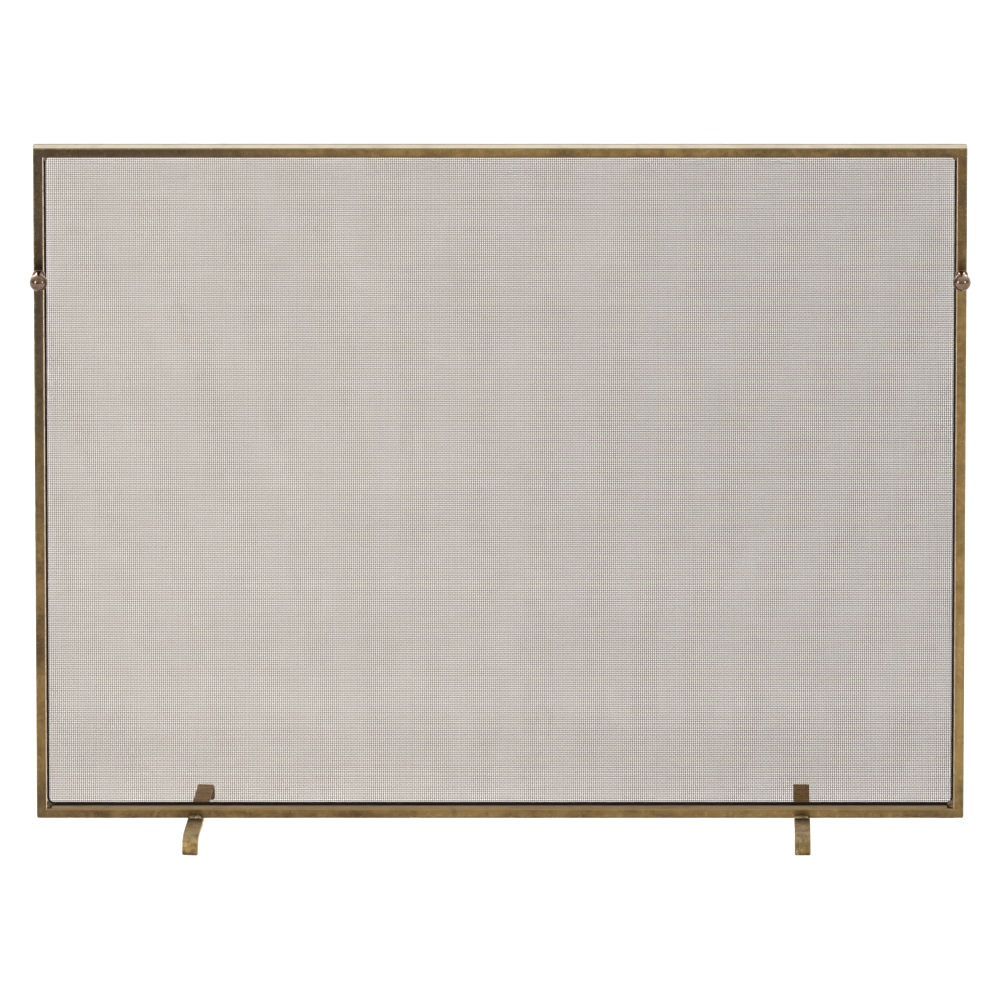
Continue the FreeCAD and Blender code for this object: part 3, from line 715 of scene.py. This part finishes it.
def make_bead_tree(material):
    """A row of lumpy weld beads.  Each is a rippled, tapered tube pressed into its corner."""
    inputs = [
        ("Beads", "NodeSocketInt", 1),
        ("First", "NodeSocketVector", (0.0, 0.0, 0.0)),
        ("Step", "NodeSocketVector", (0.0, 0.0, 0.0)),
        ("Turn", "NodeSocketVector", (0.0, 0.0, 0.0)),
        ("Length", "NodeSocketFloat", 0.008),
        ("Radius", "NodeSocketFloat", 0.003),
        ("Ripple Pitch", "NodeSocketFloat", 0.0013),
        ("Ripple Depth", "NodeSocketFloat", 0.10),
        ("Lump Height", "NodeSocketFloat", 0.0006),
        ("Lump Size", "NodeSocketFloat", 0.0022),
        ("Low Corner", "NodeSocketVector", (-1.0, -1.0, -1.0)),
        ("High Corner", "NodeSocketVector", (1.0, 1.0, 1.0)),
    ]
    group, given, out = new_group("weld_beads", "GeometryNodeTree", inputs,
                                  [("Geometry", "NodeSocketGeometry")])
    value = given.outputs

    half = times(group, value["Length"], 0.5)
    line = add(group, "GeometryNodeMeshLine", {
        "Count": BEAD_RINGS, "Start Location": vector(group, times(group, half, -1.0)),
        "Offset": vector(group, maths(group, "DIVIDE", value["Length"], BEAD_RINGS - 1.0))},
        mode="OFFSET")
    curve = add(group, "GeometryNodeMeshToCurve", {"Mesh": line.outputs[0]})
    section = add(group, "GeometryNodeCurvePrimitiveCircle", {"Resolution": BEAD_SIDES,
                                                              "Radius": value["Radius"]})
    tube = add(group, "GeometryNodeCurveToMesh", {"Curve": curve.outputs[0],
                                                  "Profile Curve": section.outputs[0],
                                                  "Fill Caps": True})
    # the tube tapers to both ends and swells at every ripple
    place = add(group, "GeometryNodeInputPosition").outputs[0]
    parts = add(group, "ShaderNodeSeparateXYZ", {0: place}).outputs
    along = maths(group, "DIVIDE", parts["X"], half)
    inside_end = maths(group, "SUBTRACT", 1.02, times(group, along, along))
    taper = maths(group, "POWER", maths(group, "MAXIMUM", inside_end, 0.02), 0.18)
    phase = maths(group, "DIVIDE", times(group, parts["X"], 2.0 * math.pi),
                  value["Ripple Pitch"])
    ripple = times(group, maths(group, "SINE", phase), value["Ripple Depth"])
    girth = times(group, taper, maths(group, "ADD", 1.0, ripple))
    shaped = add(group, "GeometryNodeSetPosition", {
        "Geometry": tube.outputs[0],
        "Position": vector(group, parts["X"], times(group, parts["Y"], girth),
                           times(group, parts["Z"], girth))})
    row = add(group, "GeometryNodeMeshLine", {"Count": value["Beads"],
                                              "Start Location": value["First"],
                                              "Offset": value["Step"]}, mode="OFFSET")
    beads = add(group, "GeometryNodeInstanceOnPoints", {"Points": row.outputs[0],
                                                        "Instance": shaped.outputs[0],
                                                        "Rotation": value["Turn"]})
    real = add(group, "GeometryNodeRealizeInstances", {"Geometry": beads.outputs[0]})
    density = maths(group, "DIVIDE", 1.0, value["Lump Size"])
    field = noise(group, place, density, 2.0, 0.5)
    swing = times(group, maths(group, "SUBTRACT", field, 0.5),
                  times(group, value["Lump Height"], 2.0))
    normal = add(group, "GeometryNodeInputNormal").outputs[0]
    lumpy = add(group, "GeometryNodeSetPosition", {
        "Geometry": real.outputs[0], "Offset": scaled_vector(group, normal, swing)})
    # what would lie inside the bars is pressed flat against them
    not_too_low = vector_maths(group, "MAXIMUM", place, value["Low Corner"])
    limit = vector_maths(group, "MINIMUM", not_too_low, value["High Corner"])
    pressed = add(group, "GeometryNodeSetPosition", {"Geometry": lumpy.outputs[0],
                                                     "Position": limit})
    joined = add(group, "GeometryNodeMergeByDistance", {"Geometry": pressed.outputs[0],
                                                        "Distance": 0.00002})
    smooth = add(group, "GeometryNodeSetShadeSmooth", {"Geometry": joined.outputs[0]})
    dressed = add(group, "GeometryNodeSetMaterial", {"Geometry": smooth.outputs[0],
                                                     "Material": material})
    group.links.new(dressed.outputs[0], out.inputs[0])
    return group


def weld_corners(tree):
    """A bead down each inner corner of the frame; the lower right one was laid on thickest."""
    low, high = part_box("corner_welds")
    for side, x in (("left", low.x), ("right", high.x)):
        for level, z in (("bottom", low.z), ("top", high.z)):
            is_left = side == "left"
            is_bottom = level == "bottom"
            thick = is_bottom and not is_left
            flat_piece("corner_weld_%s_%s" % (level, side), tree, {
                "First": (x, (low.y + high.y) / 2.0, z), "Turn": (0.0, 0.0, math.pi / 2.0),
                "Length": high.y - low.y, "Radius": THICK_CORNER_BEAD if thick else CORNER_BEAD,
                "Lump Height": 0.0016 if thick else 0.0007, "Ripple Depth": 0.16,
                "Lump Size": 0.0026,
                "Low Corner": (x if is_left else -FAR, low.y, z if is_bottom else -FAR),
                "High Corner": (FAR if is_left else x, high.y, FAR if is_bottom else z)},
                ["corner_welds"])


def weld_feet(tree):
    """A bead across the top of each foot, before and behind the bottom rail."""
    rail_low, rail_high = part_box("bottom_rail")
    foot_low, foot_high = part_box("right_foot")
    length = foot_high.x - foot_low.x - 2.0 * BEAD_INSET
    for side in ("left", "right"):
        low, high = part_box(side + "_foot_welds")
        for end, y, x in (("front", rail_low.y, low.x + length / 2.0),
                          ("rear", rail_high.y, high.x - length / 2.0)):
            flat_piece("%s_foot_weld_%s" % (side, end), tree, {
                "First": (x, y, low.z), "Length": length, "Radius": FOOT_BEAD,
                "Lump Height": 0.0008, "Lump Size": 0.0030, "Ripple Pitch": 0.0019,
                "Low Corner": (-FAR, -FAR if end == "front" else y, low.z),
                "High Corner": (FAR, y if end == "front" else FAR, FAR)},
                [side + "_foot_welds"])


def weld_cloth_edge(tree):
    """Tacks on the back of the bars hold the cut edge of the cloth."""
    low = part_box("cloth_tacks")[0]
    cloth_low, cloth_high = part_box("mesh_cloth")
    up = (cloth_high.z - cloth_low.z) / SIDE_TACKS
    across = (cloth_high.x - cloth_low.x) / LONG_TACKS
    first_up = cloth_low.z + up / 2.0
    first_across = cloth_low.x + across / 2.0
    # each row: its first tack, and the box that its tacks are pressed into
    rows = {
        "left": ((cloth_low.x, low.y, first_up),
                 (-FAR, low.y, -FAR), (cloth_low.x + TACK_OVERLAP, FAR, FAR)),
        "right": ((cloth_high.x, low.y, first_up),
                  (cloth_high.x - TACK_OVERLAP, low.y, -FAR), (FAR, FAR, FAR)),
        "bottom": ((first_across, low.y, cloth_low.z),
                   (-FAR, low.y, -FAR), (FAR, FAR, cloth_low.z + TACK_OVERLAP)),
        "top": ((first_across, low.y, cloth_high.z),
                (-FAR, low.y, cloth_high.z - TACK_OVERLAP), (FAR, FAR, FAR)),
    }
    for name, (first, low_corner, high_corner) in rows.items():
        on_stile = name in ("left", "right")
        flat_piece("cloth_tacks_" + name, tree, {
            "Beads": SIDE_TACKS if on_stile else LONG_TACKS, "First": first,
            "Step": (0.0, 0.0, up) if on_stile else (across, 0.0, 0.0),
            "Turn": (0.0, math.pi / 2.0 if on_stile else 0.0, 0.0),
            "Length": TACK_LENGTH, "Radius": cloth_low.x - low.x, "Lump Height": 0.0005,
            "Low Corner": low_corner, "High Corner": high_corner}, ["cloth_tacks"])


def weld_everything():
    tree = make_bead_tree(MATERIALS["weld"])
    weld_corners(tree)
    weld_feet(tree)
    weld_cloth_edge(tree)


# =========================== stage ===========================
def make_floor():
    mesh = bpy.data.meshes.new("studio_floor")
    corners = [(-FLOOR_REACH, -FLOOR_REACH, 0), (FLOOR_REACH, -FLOOR_REACH, 0),
               (FLOOR_REACH, FLOOR_REACH, 0), (-FLOOR_REACH, FLOOR_REACH, 0)]
    mesh.from_pydata(corners, [], [(0, 1, 2, 3)])
    floor = bpy.data.objects.new("studio_floor", mesh)
    bpy.context.scene.collection.objects.link(floor)
    material, tree, shader, place = new_material("pale_floor", 0.0, Specular_IOR_Level=0.1,
                                                 Roughness=0.9)
    shade = noise(tree, place, 0.6, 3.0)
    pale = (FLOOR_COLOUR + 0.01, FLOOR_COLOUR - 0.010, FLOOR_COLOUR - 0.035, 1.0)
    greyer = (FLOOR_COLOUR - 0.01, FLOOR_COLOUR - 0.030, FLOOR_COLOUR - 0.055, 1.0)
    tree.links.new(mix_colour(tree, shade, pale, greyer), shader.inputs["Base Color"])
    mesh.materials.append(material)


def collected(name, pieces):
    group = bpy.data.collections.new(name)
    for piece in pieces:
        group.objects.link(piece)
    return group


def softbox(name, place, aim, width, height, power, lit_pieces=None):
    """A soft box that shows as a reflection in the metal and leaves the floor alone.

    Where lit_pieces is given, it shows in those pieces only.
    """
    lamp = bpy.data.lights.new(name, "AREA")
    lamp.shape = "RECTANGLE"
    lamp.size, lamp.size_y, lamp.energy = width, height, power
    box = bpy.data.objects.new(name, lamp)
    box.location = place
    box.rotation_euler = (Vector(aim) - Vector(place)).to_track_quat("-Z", "Y").to_euler()
    box.visible_camera = False
    box.visible_diffuse = False
    bpy.context.scene.collection.objects.link(box)
    if lit_pieces:
        box.light_linking.receiver_collection = collected(name + "_pieces", lit_pieces)


def floor_light(shade_pieces):
    """The front light stands far off, beside the camera.  It lights the floor and not the metal.

    Only the cloth shades the floor from it, and its strength doesn't fall off with distance.
    """
    aim, back = line_of_sight()
    lamp = bpy.data.lights.new("front_light", "AREA")
    lamp.shape = "SQUARE"
    lamp.size = VIEW_DISTANCE * math.radians(FRONT_LIGHT_SPREAD)
    lamp.energy = FLOOR_GLOW * math.pi ** 3 / (4.0 * math.sin(VIEW_ELEVATION) * FLOOR_COLOUR)
    lamp.use_nodes = True
    tree = lamp.node_tree
    falloff = add(tree, "ShaderNodeLightFalloff", {"Strength": 1.0})
    tree.links.new(falloff.outputs["Constant"], tree.nodes["Emission"].inputs["Strength"])
    light = bpy.data.objects.new("front_light", lamp)
    light.location = aim + back * VIEW_DISTANCE
    light.rotation_euler = (-back).to_track_quat("-Z", "Y").to_euler()
    light.visible_camera = False
    light.visible_glossy = False
    bpy.context.scene.collection.objects.link(light)
    light.light_linking.blocker_collection = collected("front_light_shades", shade_pieces)


def studio_room():
    """The pale room: white to look at, dim as a light, and brightest to the rear in metal."""
    world = bpy.data.worlds.new("studio_room")
    world.use_nodes = True
    tree = world.node_tree
    way = add(tree, "ShaderNodeTexCoord").outputs["Generated"]
    rear = add(tree, "ShaderNodeVectorMath", {0: way, 1: (0.0, 0.94, 0.34)},
               operation="DOT_PRODUCT").outputs["Value"]
    upward = add(tree, "ShaderNodeSeparateXYZ", {0: way}).outputs["Z"]
    glow = times(tree, ramp(tree, rear, -0.1, 0.9), REAR_GLOW)
    sky = times(tree, ramp(tree, upward, 0.1, 0.8), SKY_GLOW)
    shine = maths(tree, "ADD", maths(tree, "ADD", glow, sky), ROOM_GLOW)
    path = add(tree, "ShaderNodeLightPath").outputs
    lit = choose(tree, path["Is Diffuse Ray"], shine, FLOOR_FILL)
    seen = choose(tree, path["Is Camera Ray"], lit, 1.0)
    tree.links.new(seen, tree.nodes["Background"].inputs["Strength"])
    tree.nodes["Background"].inputs["Color"].default_value = (1.0, 1.0, 1.0, 1.0)
    bpy.context.scene.world = world


def light_studio(cloth):
    floor_light(cloth)
    studio_room()
    knobs = [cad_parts[name] for name in NODE_MATERIALS["knob"]]
    softbox("left_softbox", (-2.4, -2.0, 1.6), (0.0, 0.0, 0.5), 0.8, 1.3, 34.0)
    softbox("right_softbox", (2.6, -2.2, 1.6), (0.0, 0.0, 0.5), 0.5, 1.0, 14.0)
    softbox("rear_left_softbox", (-1.5, 2.4, 1.9), (-0.45, 0.0, 0.6), 1.5, 1.1, 36.0, knobs)
    softbox("rear_right_softbox", (1.7, 2.4, 1.9), (0.45, 0.0, 0.6), 0.7, 0.9, 12.0, knobs)
    bpy.context.scene.view_settings.view_transform = "Standard"


def line_of_sight():
    """The point that the camera looks at, and the direction from it back to the camera."""
    aim = Vector((AIM_SIDEWAYS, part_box("top_rail")[0].y, AIM_ABOVE_FLOOR))
    return aim, Vector((0.0, -math.cos(VIEW_ELEVATION), math.sin(VIEW_ELEVATION)))


def place_camera():
    aim, back = line_of_sight()
    data = bpy.data.cameras.new("camera")
    data.sensor_width = SENSOR_WIDTH
    data.lens = SENSOR_WIDTH * VIEW_DISTANCE / VIEW_SPAN
    data.clip_end = VIEW_DISTANCE * 2.0
    camera = bpy.data.objects.new("camera", data)
    camera.location = aim + back * VIEW_DISTANCE
    camera.rotation_euler = (-back).to_track_quat("-Z", "Y").to_euler()
    bpy.context.scene.collection.objects.link(camera)
    bpy.context.scene.camera = camera


dress_cad_nodes()
woven_cloth = weave_cloth()
weld_everything()
make_floor()
light_studio(woven_cloth)
place_camera()
